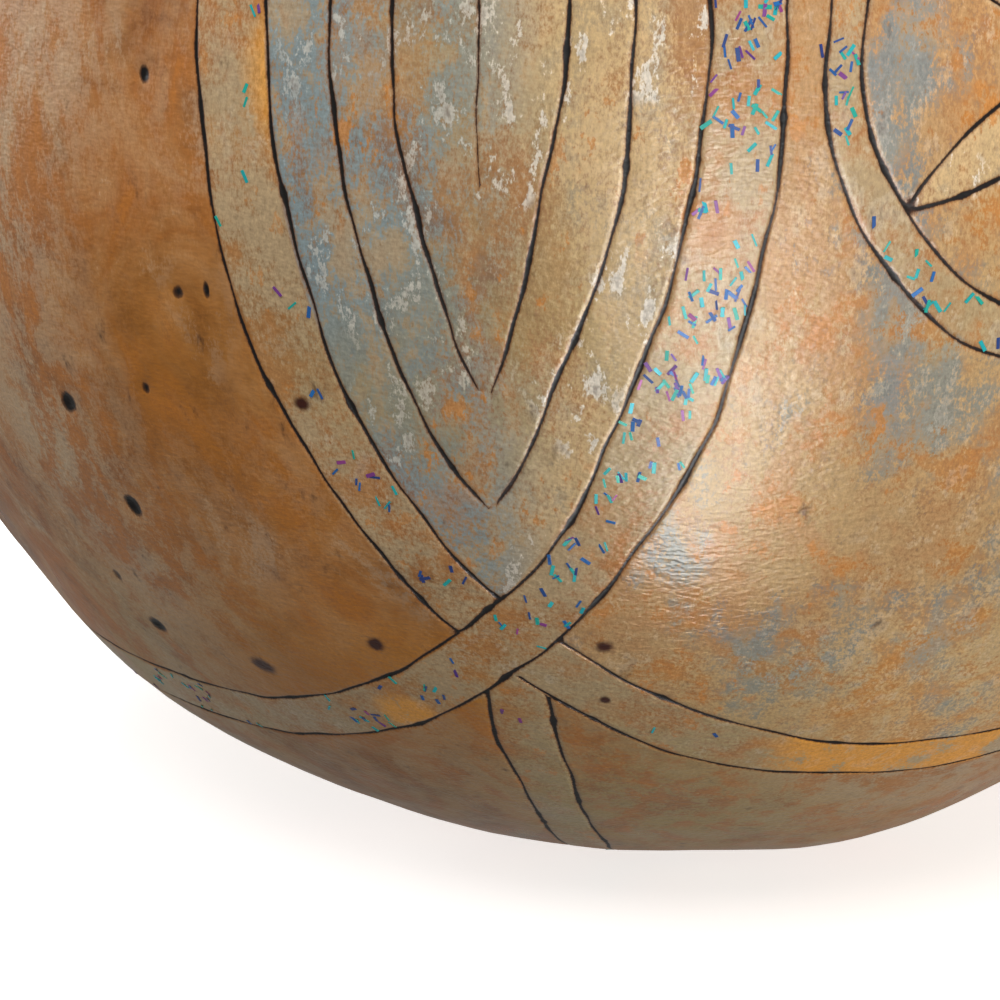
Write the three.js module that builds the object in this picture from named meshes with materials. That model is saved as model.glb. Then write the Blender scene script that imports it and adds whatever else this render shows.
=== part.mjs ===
// A vase made of one dried bottle gourd: a round belly, a short neck and a plain cut mouth.
// The gourd grew as one piece, so it is one closed shell, open only at the mouth.
// Lengths are in millimetres and angles in degrees. +Z is up, and the origin is the middle of
// the flat spot that the gourd stands on.

import * as THREE from "three";

// Driving dimensions
const BELLY_RADIUS = 118.6;
const FLAT_SPOT_RADIUS = 19.5;
const WALL = 6;
const THROAT_RADIUS = 36;
const NECK_CURVE_RADIUS = 42;
const HEIGHT = 270;
const RIM_EDGE = 1.5;

// The gourd swells and dips a little, as grown things do. Each entry is a soft rise of the
// wall: where it is as seen from the middle of the belly, how wide it spreads and its height.
const SWELLS = [
  { azimuth: -158, elevation: -29, spread: 9, height: 1.0 },
  { azimuth: -150, elevation: -44, spread: 9, height: 1.9 },
  { azimuth: -139, elevation: -54, spread: 10, height: 1.4 },
  { azimuth: -109, elevation: -65, spread: 12, height: 1.0 },
  { azimuth: -60, elevation: -62, spread: 9, height: 1.8 },
  { azimuth: 24, elevation: -38, spread: 20, height: 1.6 },
  { azimuth: 78, elevation: -50, spread: 16, height: -1.4 },
  { azimuth: 118, elevation: -24, spread: 24, height: 1.5 },
  { azimuth: 62, elevation: 34, spread: 26, height: 1.8 },
  { azimuth: 164, elevation: 40, spread: 22, height: -1.6 },
  { azimuth: -48, elevation: 46, spread: 24, height: -1.8 },
  { azimuth: -110, elevation: 44, spread: 20, height: 1.2 },
  { azimuth: -20, elevation: 68, spread: 14, height: 1.4 },
  { azimuth: 150, elevation: 70, spread: 12, height: -1.0 },
];

// Rows of facets along the profile, and facets round the gourd
const ROUND_STEPS = 64;
const OUTER_BELLY_STEPS = 26;
const OUTER_NECK_STEPS = 8;
const RIM_EDGE_STEPS = 2;
const INNER_NECK_STEPS = 6;
const INNER_BELLY_STEPS = 16;

// Sizes that follow from the driving dimensions
const bellyCentre = Math.sqrt(BELLY_RADIUS ** 2 - FLAT_SPOT_RADIUS ** 2);
const flatSpotAngle = THREE.MathUtils.radToDeg(Math.asin(FLAT_SPOT_RADIUS / BELLY_RADIUS));
const neckCentreRadius = THROAT_RADIUS + NECK_CURVE_RADIUS;
const centreDistance = BELLY_RADIUS + NECK_CURVE_RADIUS;
const neckCentreHeight = bellyCentre + Math.sqrt(centreDistance ** 2 - neckCentreRadius ** 2);
const shoulderAngle = THREE.MathUtils.radToDeg(Math.acos(neckCentreRadius / centreDistance));

// Points on an arc in the plane of the profile, from one angle to another, both ends included
function arc(centreRadius, centreHeight, radius, fromAngle, toAngle, steps) {
  const points = [];
  for (let i = 0; i <= steps; i += 1) {
    const angle = THREE.MathUtils.degToRad(fromAngle + ((toAngle - fromAngle) * i) / steps);
    points.push(
      new THREE.Vector2(
        centreRadius + radius * Math.cos(angle),
        centreHeight + radius * Math.sin(angle),
      ),
    );
  }
  return points;
}

// The point where one face of the flaring neck meets a given height
function neckPoint(curveRadius, height) {
  const rise = height - neckCentreHeight;
  return new THREE.Vector2(neckCentreRadius - Math.sqrt(curveRadius ** 2 - rise ** 2), height);
}

// A rounded corner from one point to another, bending at the corner between them
function roundedCorner(start, corner, end) {
  return new THREE.QuadraticBezierCurve(start, corner, end).getPoints(RIM_EDGE_STEPS);
}

// Outline of the wall from the middle of the flat spot, up the outside, over the cut rim and
// down the inside to the axis again. The inside runs parallel to the outside.
function wallProfile() {
  const innerCurve = NECK_CURVE_RADIUS + WALL;
  const outerTop = neckPoint(NECK_CURVE_RADIUS, HEIGHT - RIM_EDGE);
  const innerTop = neckPoint(innerCurve, HEIGHT - RIM_EDGE);
  const outerCorner = neckPoint(NECK_CURVE_RADIUS, HEIGHT);
  const innerCorner = neckPoint(innerCurve, HEIGHT);
  const outerFlare = THREE.MathUtils.radToDeg(
    Math.asin((outerTop.y - neckCentreHeight) / NECK_CURVE_RADIUS),
  );
  const innerFlare = THREE.MathUtils.radToDeg(
    Math.asin((innerTop.y - neckCentreHeight) / innerCurve),
  );
  const shoulderTurn = 180 + shoulderAngle;
  const outerBelly = arc(
    0, bellyCentre, BELLY_RADIUS, flatSpotAngle - 90, shoulderAngle, OUTER_BELLY_STEPS,
  );
  const outerNeck = arc(
    neckCentreRadius, neckCentreHeight, NECK_CURVE_RADIUS,
    shoulderTurn, 180 - outerFlare, OUTER_NECK_STEPS,
  );
  const outerEdge = roundedCorner(
    outerTop, outerCorner, new THREE.Vector2(outerCorner.x - RIM_EDGE, HEIGHT),
  );
  const innerEdge = roundedCorner(
    new THREE.Vector2(innerCorner.x + RIM_EDGE, HEIGHT), innerCorner, innerTop,
  );
  const innerNeck = arc(
    neckCentreRadius, neckCentreHeight, innerCurve,
    180 - innerFlare, shoulderTurn, INNER_NECK_STEPS,
  );
  const innerBelly = arc(
    0, bellyCentre, BELLY_RADIUS - WALL, shoulderAngle, -90, INNER_BELLY_STEPS,
  );
  innerBelly[INNER_BELLY_STEPS].x = 0;
  return [
    new THREE.Vector2(0, 0),
    ...outerBelly,
    ...outerNeck.slice(1),
    ...outerEdge.slice(1),
    ...innerEdge,
    ...innerNeck.slice(1),
    ...innerBelly.slice(1),
  ];
}

function directionFrom(azimuth, elevation) {
  const round = THREE.MathUtils.degToRad(azimuth);
  const up = THREE.MathUtils.degToRad(elevation);
  return new THREE.Vector3(
    Math.cos(up) * Math.cos(round),
    Math.cos(up) * Math.sin(round),
    Math.sin(up),
  );
}

// How far the wall stands out of the even shape in one direction from the middle of the belly.
// The swells die out towards the flat spot, which stays flat.
function swellAt(direction) {
  let rise = 0;
  for (const swell of SWELLS) {
    const centre = directionFrom(swell.azimuth, swell.elevation);
    const away = THREE.MathUtils.radToDeg(direction.angleTo(centre)) / swell.spread;
    rise += swell.height * Math.exp(-(away ** 2));
  }
  const fromBelow = 90 + THREE.MathUtils.radToDeg(Math.asin(direction.z));
  return rise * THREE.MathUtils.smoothstep(fromBelow, flatSpotAngle, 1.6 * flatSpotAngle);
}

// The wall turned round the axis, with each point then moved out or in by the swells. Near the
// rim the points only move level, so that the cut mouth stays flat.
function gourdGeometry() {
  const geometry = new THREE.LatheGeometry(wallProfile(), ROUND_STEPS);
  geometry.rotateX(Math.PI / 2);
  const middle = new THREE.Vector3(0, 0, bellyCentre);
  const levelFrom = neckCentreHeight - NECK_CURVE_RADIUS;
  const position = geometry.attributes.position;
  const point = new THREE.Vector3();
  for (let i = 0; i < position.count; i += 1) {
    point.fromBufferAttribute(position, i);
    const direction = point.clone().sub(middle).normalize();
    const move = direction.clone().multiplyScalar(swellAt(direction));
    move.z *= 1 - THREE.MathUtils.smoothstep(point.z, levelFrom, HEIGHT - RIM_EDGE);
    point.add(move);
    position.setXYZ(i, point.x, point.y, point.z);
  }
  return geometry;
}

const rind = new THREE.MeshStandardMaterial({ color: 0xa87a4c, roughness: 0.45, metalness: 0 });

const gourdShell = new THREE.Mesh(gourdGeometry(), rind);
gourdShell.name = "gourd_shell";

const gourdVase = new THREE.Group();
gourdVase.add(gourdShell);

export default gourdVase;
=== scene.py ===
"""A vase made of one dried gourd, with burned lines, thin washes, glitter and varnish.

It is laid out as an add-on for Blender 4.5 and run as a script. Lengths are in metres and angles in
degrees, unless a name says otherwise.
"""

import functools
import itertools
import math

import bpy
import numpy as np
from bpy.props import FloatProperty, FloatVectorProperty, IntProperty, PointerProperty
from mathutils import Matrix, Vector
from mathutils.geometry import delaunay_2d_cdt


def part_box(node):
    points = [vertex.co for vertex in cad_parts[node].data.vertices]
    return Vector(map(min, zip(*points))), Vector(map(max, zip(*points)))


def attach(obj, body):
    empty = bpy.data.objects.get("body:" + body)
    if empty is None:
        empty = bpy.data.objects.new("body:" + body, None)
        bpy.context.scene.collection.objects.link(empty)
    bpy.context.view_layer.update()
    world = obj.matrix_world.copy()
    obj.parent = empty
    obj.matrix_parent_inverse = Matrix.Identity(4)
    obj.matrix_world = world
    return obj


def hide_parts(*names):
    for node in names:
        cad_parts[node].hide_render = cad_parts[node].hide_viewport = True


bl_info = {
    "name": "Burned gourd vase",
    "version": (1, 0, 0),
    "blender": (4, 5, 0),
    "location": "3D View > Sidebar > Gourd vase",
    "description": "Makes the finish of a round gourd vase with burned lines, washes and glitter",
    "category": "Object",
}

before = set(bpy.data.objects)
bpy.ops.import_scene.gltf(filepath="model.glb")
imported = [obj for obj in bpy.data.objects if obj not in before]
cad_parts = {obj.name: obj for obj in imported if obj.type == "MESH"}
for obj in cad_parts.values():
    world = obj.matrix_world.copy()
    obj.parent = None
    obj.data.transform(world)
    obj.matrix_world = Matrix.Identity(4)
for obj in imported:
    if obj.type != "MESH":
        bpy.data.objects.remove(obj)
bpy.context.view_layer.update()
CAD_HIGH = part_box("gourd_shell")[1]

MM = 0.001
UP = np.array([0.0, 0.0, 1.0])
GOLDEN_ANGLE = math.pi * (3 - math.sqrt(5))
BELLY_RADIUS = 118.6 * MM

# Softness of a painted edge, the farthest that a line's edge is measured, and the least share of
# a line that counts as shown
SOFT_EDGE = 0.15 * MM
LINE_REACH = 3 * MM
LEAST_SHOWN = 0.02
# Depth of a full pit, and how far the outer skin stays inside the solid part
PIT_DEPTH = 0.45 * MM
SKIN_INSET = 0.15 * MM
# How clear the even points of the skin stay of the rim and of a line's rows, in spacings
RIM_CLEAR = 0.6
LINE_CLEAR = 0.55
# Rings of points round a pit or spot, as shares of its half size, how many points each has, and
# how clear they stay of a line's edge
MARK_RINGS = (0.0, 0.35, 0.7, 1.1, 1.6)
MARK_SIDES = 14
MARK_CLEAR = 0.8 * MM
# How much farther a row's point has to be from an earlier line's middle than from its own
ROW_TIE = 0.05 * MM
# Rows of the inner face that still belong to the rim
RIM_ROWS = 12

# The gourd's soft rises and dips: azimuth and elevation from the middle of the belly, spread in
# degrees and height in millimetres
SWELLS = (
    (-158, -29, 9, 1.0),
    (-150, -44, 9, 1.9),
    (-139, -54, 10, 1.4),
    (-109, -65, 12, 1.0),
    (-60, -62, 9, 1.8),
    (24, -38, 20, 1.6),
    (78, -50, 16, -1.4),
    (118, -24, 24, 1.5),
    (62, 34, 26, 1.8),
    (164, 40, 22, -1.6),
    (-48, 46, 24, -1.8),
    (-110, 44, 20, 1.2),
    (-20, 68, 14, 1.4),
    (150, 70, 12, -1.0),
)

# Dark pits left by knocks and insects: azimuth, elevation, half length and half width in
# millimetres, and how deep and dark they are from 0 to 1
PITS = (
    (-129.8, -17.0, 1.20, 1.05, 1.0),
    (-126.9, -23.9, 1.35, 1.05, 1.0),
    (-132.3, -35.5, 1.30, 1.10, 0.9),
    (-133.6, -31.2, 1.00, 0.80, 0.45),
    (-118.5, -8.3, 0.80, 0.75, 0.7),
    (-116.5, -7.9, 1.10, 0.45, 0.8),
    (-122.2, -14.7, 0.80, 0.60, 0.7),
    (-120.1, 3.9, 0.85, 0.65, 0.7),
)

# Reddish brown spots: azimuth, elevation, and half size in millimetres
SPOTS = (
    (-121.7, -36.5, 1.7),
    (-110.0, -32.0, 1.2),
    (-93.5, -30.3, 1.2),
    (-111.1, -14.2, 1.0),
    (-93.7, -35.5, 0.7),
)


def smoothstep(value, low, high):
    """0 below low, 1 above high, and 3 t^2 - 2 t^3 between them."""
    t = np.clip((value - low) / (high - low), 0, 1)
    return t * t * (3 - 2 * t)


def pointing(azimuth, elevation):
    """Unit vectors (cos e cos a, cos e sin a, sin e) for azimuths a and elevations e in radians."""
    azimuth, elevation = np.broadcast_arrays(azimuth, elevation)
    level = np.cos(elevation)
    return np.stack([level * np.cos(azimuth), level * np.sin(azimuth), np.sin(elevation)], -1)


def towards(azimuth, elevation):
    """The unit vector for one azimuth and elevation in degrees."""
    return pointing(math.radians(azimuth), math.radians(elevation))


def unit(vectors):
    """Each row divided by its length."""
    return vectors / np.linalg.norm(vectors, axis=1)[:, None]


def angle_to(directions, centre):
    """Angles between directions and one centre, or a row of them for several centres."""
    return np.arccos(np.clip(directions @ centre, -1, 1))


def bell(directions, azimuth, elevation, spread):
    """exp(-(angle / spread)^2) round a centre, with its place and spread in degrees."""
    away = angle_to(directions, towards(azimuth, elevation)) / math.radians(spread)
    return np.exp(-(away**2))


def azimuths_of(directions):
    """The azimuth of each direction."""
    return np.arctan2(directions[:, 1], directions[:, 0])


def elevations_of(directions):
    """The elevation of each direction."""
    return np.arcsin(np.clip(directions[:, 2], -1, 1))


def waves(points, seed, sizes, count=12):
    """An even, smooth unevenness from -1 to 1: the sum of plane waves in random directions.

    Their wavelengths lie between the two sizes, and the sum is divided by what its spread would be.
    """
    rng = np.random.default_rng(seed)
    total = np.zeros(len(points))
    for _ in range(count):
        direction = rng.normal(size=3)
        direction /= np.linalg.norm(direction)
        length = sizes[0] * (sizes[1] / sizes[0]) ** rng.random()
        total += np.sin(points @ direction * (2 * math.pi / length) + 2 * math.pi * rng.random())
    return np.clip(total / math.sqrt(2 * count), -1, 1)


def turned(radius, height, azimuth):
    """Points (r cos a, r sin a, z) for radii r, heights z and azimuths a."""
    return np.stack([radius * np.cos(azimuth), radius * np.sin(azimuth), height], -1)


class GourdWall:
    """The wall of the gourd as formulas.

    Its outline is a flat spot, an arc round the middle of the belly, and an arc that bends the
    other way up the neck. A place on the outside is its run, which is the way along the outline
    from the middle of the flat spot, and its azimuth.
    """

    def __init__(self, sizes):
        self.belly = sizes.belly_radius
        self.flat = sizes.flat_spot_radius
        self.thick = sizes.wall
        self.curve = sizes.neck_curve_radius
        self.high = sizes.height
        self.edge = sizes.rim_edge
        self.top = self.high - self.edge
        self.middle = math.sqrt(self.belly**2 - self.flat**2)
        self.flat_angle = math.asin(self.flat / self.belly)
        self.first = self.flat_angle - math.pi / 2
        self.neck_radius = sizes.throat_radius + self.curve
        reach = self.belly + self.curve
        self.neck_height = self.middle + math.sqrt(reach**2 - self.neck_radius**2)
        self.shoulder = math.acos(self.neck_radius / reach)
        self.belly_end = self.flat + self.belly * (self.shoulder - self.first)
        self.flare = math.asin((self.top - self.neck_height) / self.curve)
        self.end = self.belly_end + self.curve * (self.shoulder + self.flare)

    def outline(self, run):
        """Radius, height and the outward direction's two parts for each run.

        On the arcs they come from the cosine and sine of the angle that the run covers.
        """
        on_flat = run < self.flat
        on_belly = run < self.belly_end
        angle = self.first + (run - self.flat) / self.belly
        turn = math.pi + self.shoulder - (run - self.belly_end) / self.curve
        neck_r = self.neck_radius + self.curve * np.cos(turn)
        neck_z = self.neck_height + self.curve * np.sin(turn)
        radius = np.where(on_flat, run, np.where(on_belly, self.belly * np.cos(angle), neck_r))
        belly_z = self.middle + self.belly * np.sin(angle)
        height = np.where(on_flat, 0, np.where(on_belly, belly_z, neck_z))
        out_r = np.where(on_flat, 0, np.where(on_belly, np.cos(angle), -np.cos(turn)))
        out_z = np.where(on_flat, -1, np.where(on_belly, np.sin(angle), -np.sin(turn)))
        return radius, height, out_r, out_z

    def direction(self, run, azimuth):
        """The way each place faces from the middle of the belly.

        The belly's even turn goes on over the neck, so that each run keeps a direction of its own.
        """
        return pointing(azimuth, self.first + (run - self.flat) / self.belly)

    def run_of(self, direction):
        """Run and azimuth of each direction: the inverse of direction()."""
        run = self.flat + self.belly * (elevations_of(direction) - self.first)
        return run, azimuths_of(direction)

    def swelled(self, points):
        """Points moved out from the middle of the belly by the sum of h exp(-(angle / spread)^2).

        The move fades out towards the flat spot, and near the rim it is level.
        """
        ray = unit(points - self.middle * UP)
        rise = np.zeros(len(points))
        for azimuth, elevation, spread, height in SWELLS:
            rise += height * MM * bell(ray, azimuth, elevation, spread)
        from_below = math.pi / 2 + elevations_of(ray)
        rise *= smoothstep(from_below, self.flat_angle, 1.6 * self.flat_angle)
        level = 1 - smoothstep(points[:, 2], self.neck_height - self.curve, self.top)
        move = ray * rise[:, None]
        move[:, 2] *= level
        return points + move

    def outside(self, run, azimuth, rise):
        """Points of the outer face: each set out of the outline by its rise, then swelled."""
        radius, height, out_r, out_z = self.outline(run)
        return self.swelled(turned(radius + rise * out_r, height + rise * out_z, azimuth))

    def inner_outline(self, edge_steps=5, neck_steps=18, belly_steps=34):
        """Radius and height along the rim and down the inside to the axis, but for the first point.

        The rim's edges are curves (1 - t)^2 a + 2 t (1 - t) b + t^2 c, and the rest are arcs.
        """
        inner_curve = self.curve + self.thick

        def neck_at(curve, height):
            """Where the neck's curve of this radius meets a height."""
            rise = height - self.neck_height
            return np.array([self.neck_radius - math.sqrt(curve**2 - rise**2), height])

        def bend(start, corner, end):
            """A curve from start to end that the corner between them draws out."""
            t = np.linspace(0, 1, edge_steps)[:, None]
            return (1 - t) ** 2 * start + 2 * t * (1 - t) * corner + t * t * end

        def arc(centre, radius, start, stop, steps):
            """Even points on an arc round a centre, both ends included."""
            angle = np.linspace(start, stop, steps + 1)
            away, up = radius * np.cos(angle), radius * np.sin(angle)
            return np.stack([centre[0] + away, centre[1] + up], -1)

        outer_corner = neck_at(self.curve, self.high)
        inner_corner = neck_at(inner_curve, self.high)
        inner_top = neck_at(inner_curve, self.top)
        inner_flare = math.asin((self.top - self.neck_height) / inner_curve)
        outer_top = neck_at(self.curve, self.top)
        outer_edge = bend(outer_top, outer_corner, outer_corner - [self.edge, 0])
        inner_edge = bend(inner_corner + [self.edge, 0], inner_corner, inner_top)
        centre = (self.neck_radius, self.neck_height)
        neck = arc(centre, inner_curve, math.pi - inner_flare, math.pi + self.shoulder, neck_steps)
        inner_belly = self.belly - self.thick
        belly = arc((0, self.middle), inner_belly, self.shoulder, -math.pi / 2, belly_steps)
        return np.concatenate([outer_edge[1:], inner_edge, neck[1:], belly[1:]])


class RingLine:
    """A burned line round a centre on the belly, at an even angle from it but for its wander."""

    def __init__(self, wall, centre, radius, shown, seed, rows):
        self.wall = wall
        self.centre = centre
        self.radius = radius
        self.shown = shown
        self.rows = rows
        side = np.array([1.0, 0, 0]) if abs(centre[2]) > 0.9 else UP
        self.east = np.cross(side, centre)
        self.east /= np.linalg.norm(self.east)
        self.north = np.cross(centre, self.east)
        self.length = 2 * math.pi * wall.belly * math.sin(radius)
        self.hand = Hand(seed, self.length)

    def trace(self, step):
        """Directions of the rows of points along the line."""
        t = np.linspace(0, 2 * math.pi, round(self.length / step), endpoint=False)[:, None]
        angle = self.radius + (self.hand.wander(t) + self.rows) / self.wall.belly
        round_it = np.cos(t)[..., None] * self.east + np.sin(t)[..., None] * self.north
        places = np.cos(angle)[..., None] * self.centre + np.sin(angle)[..., None] * round_it
        return places.reshape(-1, 3)

    def offset(self, direction):
        """Way across the line, and the turn round it, for each direction."""
        angle = angle_to(direction, self.centre)
        t = np.arctan2(direction @ self.north, direction @ self.east)
        return (angle - self.radius) * self.wall.belly - self.hand.wander(t), t


class SpokeLine:
    """A burned line from one elevation to another, at a side offset that changes evenly between."""

    def __init__(self, wall, azimuth, span, sides, shown, seed, rows):
        self.wall = wall
        self.azimuth = azimuth
        self.span = span
        self.sides = sides
        self.shown = shown
        self.rows = rows
        self.length = wall.belly * abs(span[1] - span[0])
        self.hand = Hand(seed, self.length)

    def side(self, elevation):
        """Side offset with its wander, and the turn that stands for the share of the span."""
        share = np.clip((elevation - self.span[0]) / (self.span[1] - self.span[0]), -0.1, 1.1)
        turn = 2 * math.pi * share
        even = self.sides[0] + (self.sides[1] - self.sides[0]) * share
        return even + self.hand.wander(turn), turn

    def trace(self, step):
        """Directions of the rows of points along the line."""
        elevation = np.linspace(*self.span, round(self.length / step) + 1)[:, None]
        across = self.side(elevation)[0] + self.rows
        azimuth = self.azimuth + across / (self.wall.belly * np.cos(elevation))
        return pointing(azimuth, np.broadcast_to(elevation, azimuth.shape)).reshape(-1, 3)

    def offset(self, direction):
        """Way across the line, and its turn, for each direction. It is far off beyond the ends."""
        elevation = elevations_of(direction)
        azimuth = (azimuths_of(direction) - self.azimuth + math.pi) % (2 * math.pi) - math.pi
        side, turn = self.side(elevation)
        beyond = np.maximum(min(self.span) - elevation, elevation - max(self.span))
        far = np.where(beyond > 0, beyond * self.wall.belly, 0)
        return azimuth * self.wall.belly * np.cos(elevation) - side + np.copysign(far, side), turn


class Hand:
    """The unsteadiness of a line drawn by hand: its wander and its changing breadth.

    Each is a sum of sines. The wavelengths are stretched or shrunk at random to fit the line.
    """

    WANDER_WAVES = np.array([70, 34, 16, 8]) * MM
    WANDER_HEIGHTS = np.array([0.40, 0.22, 0.10, 0.05]) * MM
    BREADTH_WAVES = np.array([26, 9, 4.2]) * MM

    def __init__(self, seed, length):
        rng = np.random.default_rng(seed)
        wander_turns = length / self.WANDER_WAVES * rng.uniform(0.8, 1.25, 4)
        self.turns = np.maximum(np.round(wander_turns), 1)
        self.phases = rng.uniform(0, 2 * math.pi, 4)
        self.breadth_turns = np.round(length / self.BREADTH_WAVES * rng.uniform(0.8, 1.25, 3))
        self.breadth_phases = rng.uniform(0, 2 * math.pi, 3)

    def wander(self, t):
        """Sum of h sin(n t + p) over four heights h, turns n and phases p."""
        sines = zip(self.WANDER_HEIGHTS, self.turns, self.phases)
        return sum(h * np.sin(n * t + p) for h, n, p in sines)

    def half_breadth(self, t):
        """0.2 mm, give or take two sines, with a blob where a third one peaks."""
        slow, quick, blob = (
            np.sin(n * t + p) for n, p in zip(self.breadth_turns, self.breadth_phases)
        )
        peaks = np.maximum(slow * 0.55 + blob * 0.45, 0) ** 6
        return (0.20 + 0.05 * slow + 0.04 * quick + 0.26 * peaks) * MM


class Pattern:
    """Five large interlaced rings round the belly, with nested leaves where they overlap.

    Bands run from the leaves' tips to a hoop at the base and to one at the shoulder. The rings are
    a traditional compass pattern. Places are directions from the middle of the belly.
    """

    # The rings' count and the turn between them, the first one's centre, and the angles from a
    # centre to the middle of its band, from there to the band's edge, and to the leaves' lines
    COUNT = 5
    STEP = 2 * math.pi / COUNT
    FIRST_AZIMUTH = math.radians(-136)
    ELEVATION = math.radians(6)
    RADIUS = math.radians(50)
    HALF_BAND = math.radians(2.2)
    LEAVES = (math.radians(44.0), math.radians(40.4))
    BASE_HOOP = math.radians(-74)
    SHOULDER_HOOP = math.radians(59)
    # Half the width between a spoke's two lines at its start and its end, and how far in from
    # the leaf's tip it starts
    SPOKE_SIDES = (4.4 * MM, 2.4 * MM)
    SPOKE_START = math.radians(3.5)
    # Half the span of a leaf's rib, and where it fades inside the leaf
    RIB = math.radians(30)
    RIB_INSET = math.radians(3)
    RIB_TAPER = 14 * MM
    # The rosettes' inner and outer circle, and the ring that has no rosette
    ROSETTE = math.radians(15.4)
    ROSETTE_BAND = math.radians(17.8)
    PLAIN_RING = 0
    # How much tan wash each ring holds, and where a leaf turns from cool to light paint
    WASHED = np.array([0.05, 1.0, 0.5, 0.9, 0.35])
    TWO_TONE = (-4 * MM, 11 * MM)
    # Where the rows of mesh points along a line lie, for the rings and for finer lines
    MAIN_ROWS = np.array([-0.9, -0.5, -0.25, 0, 0.25, 0.5, 0.9]) * MM
    FINE_ROWS = np.array([-0.8, -0.3, 0, 0.3, 0.8]) * MM

    def __init__(self, wall):
        self.wall = wall
        azimuths = self.FIRST_AZIMUTH + self.STEP * np.arange(self.COUNT)
        self.centres = pointing(azimuths, self.ELEVATION)
        self.inner = self.RADIUS - self.HALF_BAND
        self.outer = self.RADIUS + self.HALF_BAND
        # Half the angle between neighbours' centres, and how high the arc between them lies halfway
        apart = math.asin(math.cos(self.ELEVATION) * math.sin(self.STEP / 2))
        self.foot = math.atan(math.tan(self.ELEVATION) / math.cos(self.STEP / 2))
        tip = math.acos(math.cos(self.outer) / math.cos(apart))
        self.tips = (self.foot - tip, self.foot + tip)
        self.leaf_azimuths = azimuths + self.STEP / 2
        # The petals' arcs pass through their neighbours' centres, which are 60 degrees apart
        cosine = math.cos(self.ROSETTE)
        self.petal_arc = math.acos(cosine**2 + 0.5 * (1 - cosine**2))
        self.petal_centres = {
            k: around(self.centres[k], self.ROSETTE, 2 * math.pi * np.arange(6) / 6)
            for k in range(self.COUNT)
            if k != self.PLAIN_RING
        }
        self.lines = list(self.make_lines())

    def reach(self, direction):
        """Angle from each place to each ring's centre."""
        return angle_to(direction, self.centres.T)

    def filled(self, depth):
        """1 where the angle inward from an edge is above 0 and 0 elsewhere, with a soft edge."""
        return smoothstep(depth * self.wall.belly, -SOFT_EDGE, SOFT_EDGE)

    def in_band(self, reach, number):
        """1 inside a ring's band and 0 outside."""
        return self.filled(self.HALF_BAND - np.abs(reach[:, number % self.COUNT] - self.RADIUS))

    def ring_shown(self, number):
        """A ring goes under its next neighbour at the top and under its last one at the bottom."""

        def shown(direction, reach):
            upper = direction[:, 2] > math.sin(self.foot)
            after, before = self.in_band(reach, number + 1), self.in_band(reach, number - 1)
            return 1 - np.where(upper, after, before)

        return shown

    def leaf_shown(self, number, radius, taper=5 * MM):
        """A leaf's side shows inside the neighbour's circle and thins out towards the tips."""

        def shown(direction, reach):
            depth = (radius - reach[:, number % self.COUNT]) * self.wall.belly
            return smoothstep(depth, 0, taper)

        return shown

    def inside_shown(self, number, radius):
        """Shows inside one circle round a ring's centre."""

        def shown(direction, reach):
            return smoothstep((radius - reach[:, number]) * self.wall.belly, 0, 0.3 * MM)

        return shown

    def outside_shown(self):
        """Shows outside all rings."""

        def shown(direction, reach):
            return smoothstep((reach.min(1) - self.outer) * self.wall.belly, 0, 0.3 * MM)

        return shown

    def make_lines(self):
        """Every burned line of the pattern, each with a seed of its own."""
        seeds = itertools.count(101)

        def always(direction, reach):
            """Shows everywhere."""
            return np.ones(len(direction))

        def ring(centre, radius, shown, rows=self.FINE_ROWS):
            return RingLine(self.wall, centre, radius, shown, next(seeds), rows)

        def spoke(azimuth, span, sides, shown):
            return SpokeLine(self.wall, azimuth, span, sides, shown, next(seeds), self.FINE_ROWS)

        for k, (centre, azimuth) in enumerate(zip(self.centres, self.leaf_azimuths)):
            for radius in (self.inner, self.outer):
                yield ring(centre, radius, self.ring_shown(k), self.MAIN_ROWS)
            for radius in self.LEAVES:
                for neighbour in (k - 1, k + 1):
                    yield ring(centre, radius, self.leaf_shown(neighbour, radius))
            rib_shown = self.leaf_shown(k, self.LEAVES[-1] - self.RIB_INSET, self.RIB_TAPER)
            yield spoke(azimuth, (self.foot - self.RIB, self.foot + self.RIB), (0, 0), rib_shown)
            for tip, hoop in zip(self.tips, (self.BASE_HOOP, self.SHOULDER_HOOP)):
                for way in (-1, 1):
                    start = tip + math.copysign(self.SPOKE_START, self.foot - tip)
                    sides = [way * side for side in self.SPOKE_SIDES]
                    yield spoke(azimuth, (start, hoop), sides, self.outside_shown())
        for k, centres in self.petal_centres.items():
            for radius in (self.ROSETTE, self.ROSETTE_BAND):
                yield ring(self.centres[k], radius, always)
            for centre in centres:
                yield ring(centre, self.petal_arc, self.inside_shown(k, self.ROSETTE))
        for elevation in (self.BASE_HOOP, self.SHOULDER_HOOP):
            yield ring(UP, math.pi / 2 - elevation, always, self.MAIN_ROWS)

    def line_edge(self, direction):
        """Way to the nearest burned line's edge, below 0 inside the line and at most LINE_REACH.

        A line that is part shown is narrower by the square root of its share, and a hidden one is
        moved out of reach.
        """
        reach = self.reach(direction)
        nearest = np.full(len(direction), LINE_REACH)
        for line in self.lines:
            across, t = line.offset(direction)
            shown = line.shown(direction, reach)
            hidden = shown < LEAST_SHOWN
            half = line.hand.half_breadth(t) * np.sqrt(shown) - 0.4 * MM * hidden
            nearest = np.minimum(nearest, np.abs(across) - half + LINE_REACH * hidden)
        return nearest

    def line_gap(self, direction, line, reach):
        """Way to one line's middle, for placing points. It is a metre where the line is hidden."""
        across, _ = line.offset(direction)
        return np.where(line.shown(direction, reach) > LEAST_SHOWN, np.abs(across), 1.0)

    def leaf_turn(self, direction):
        """Azimuth of each direction from the nearest leaf's rib."""
        turn = azimuths_of(direction) - self.leaf_azimuths[0]
        return (turn + self.STEP / 2) % self.STEP - self.STEP / 2

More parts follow.
